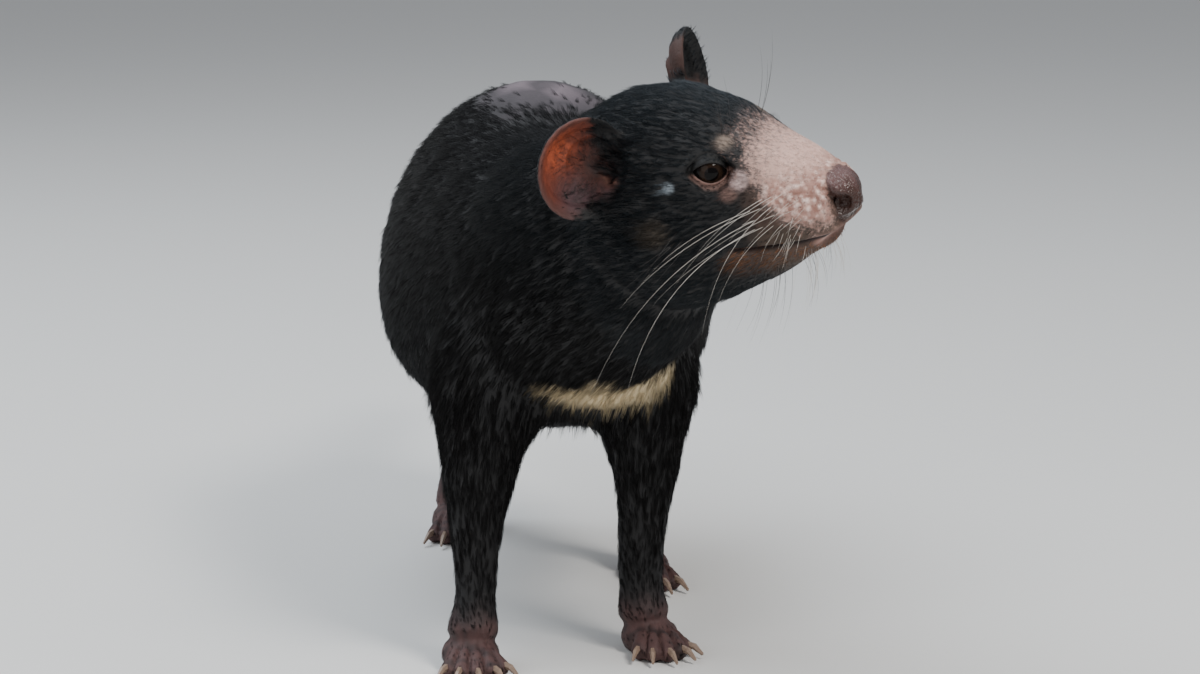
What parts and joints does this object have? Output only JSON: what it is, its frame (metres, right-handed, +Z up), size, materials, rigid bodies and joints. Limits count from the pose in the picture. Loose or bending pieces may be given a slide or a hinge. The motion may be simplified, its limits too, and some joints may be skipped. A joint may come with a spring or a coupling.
{
  "type": "tasmanian devil",
  "caption": "Life-size standing tasmanian devil, head turned to its left, ears up, mouth closed, tail held out behind.",
  "frame": {"origin": "middle of the bounding box's underside, on the floor", "axes": "+Y towards the tail, so the animal faces -Y; +X its own left; +Z up"},
  "size_m": [0.2202, 0.7282, 0.3209],
  "materials": {
    "coat": "short sleek black fur",
    "coat_brown": "short brown fur",
    "nose": "moist pebbled skin",
    "ear": "thin bare skin with fine hair",
    "eye": "wet and glossy",
    "foot_skin": "creased bare skin",
    "claw": "pale horn"
  },
  "bodies": {
    "root": {"eye_right": "eye", "eye_left": "eye", "nose": "nose", "lower_jaw": "coat_brown", "ear_right": "ear", "ear_left": "ear", "leg_fore_right_upper": "coat", "leg_fore_right_lower": "coat", "foot_fore_right": "foot_skin", "claw_fore_right_1": "claw", "claw_fore_right_2": "claw", "claw_fore_right_3": "claw", "claw_fore_right_4": "claw", "claw_fore_right_5": "claw", "leg_fore_left_upper": "coat", "leg_fore_left_lower": "coat", "foot_fore_left": "foot_skin", "claw_fore_left_1": "claw", "claw_fore_left_2": "claw", "claw_fore_left_3": "claw", "claw_fore_left_4": "claw", "claw_fore_left_5": "claw", "leg_hind_right_upper": "coat", "leg_hind_right_lower": "coat", "foot_hind_right": "foot_skin", "claw_hind_right_1": "claw", "claw_hind_right_2": "claw", "claw_hind_right_3": "claw", "claw_hind_right_4": "claw", "leg_hind_left_upper": "coat", "leg_hind_left_lower": "coat", "foot_hind_left": "foot_skin", "claw_hind_left_1": "claw", "claw_hind_left_2": "claw", "claw_hind_left_3": "claw", "claw_hind_left_4": "claw", "tail": "coat", "head": "coat", "neck": "coat", "torso": "coat"}
  },
  "joints": []
}
